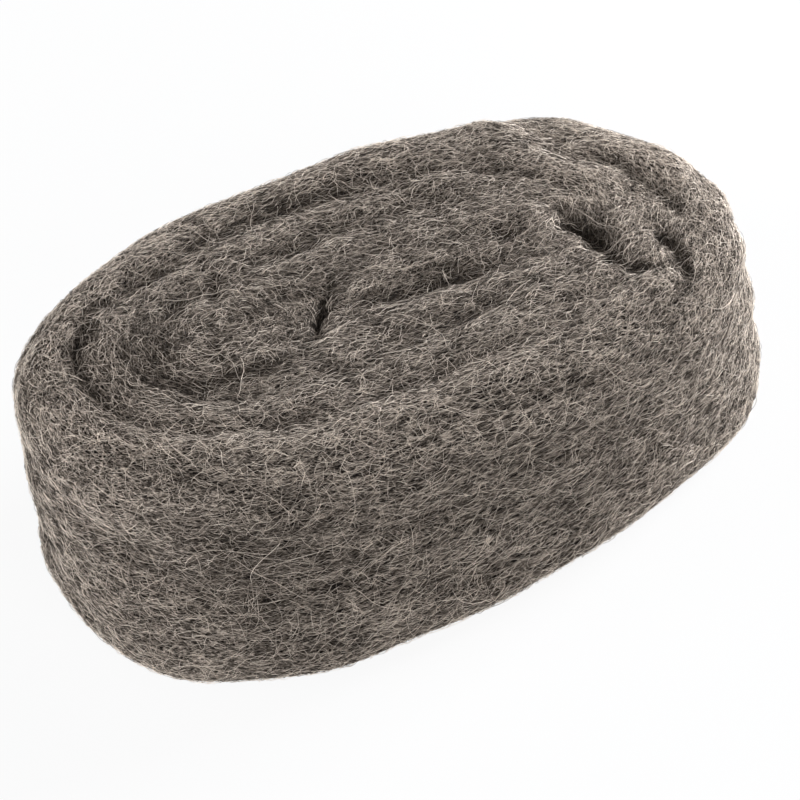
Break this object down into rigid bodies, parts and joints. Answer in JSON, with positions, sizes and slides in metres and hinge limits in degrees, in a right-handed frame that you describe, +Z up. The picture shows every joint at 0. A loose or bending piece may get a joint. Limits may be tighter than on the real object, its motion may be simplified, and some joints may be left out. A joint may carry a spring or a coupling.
{
  "type": "steel wool bundle",
  "caption": "Flattened oval roll of fine steel wool, one long flat strand wound round itself and felted into a soft pad for scouring and rubbing down.",
  "frame": {"origin": "middle of the bounding box at the foot of the roll, on the surface it stands on", "axes": "+X along the roll's length, +Y across it towards the back where the strand's outer end lies, +Z up along the winding axis"},
  "size_m": [0.1912, 0.1088, 0.0603],
  "materials": {
    "steel_wool": "matt mass of fine curly steel fibres, warm dark grey with bright single strands"
  },
  "bodies": {
    "root": {"steel_wool_bundle": "steel_wool"}
  },
  "joints": []
}
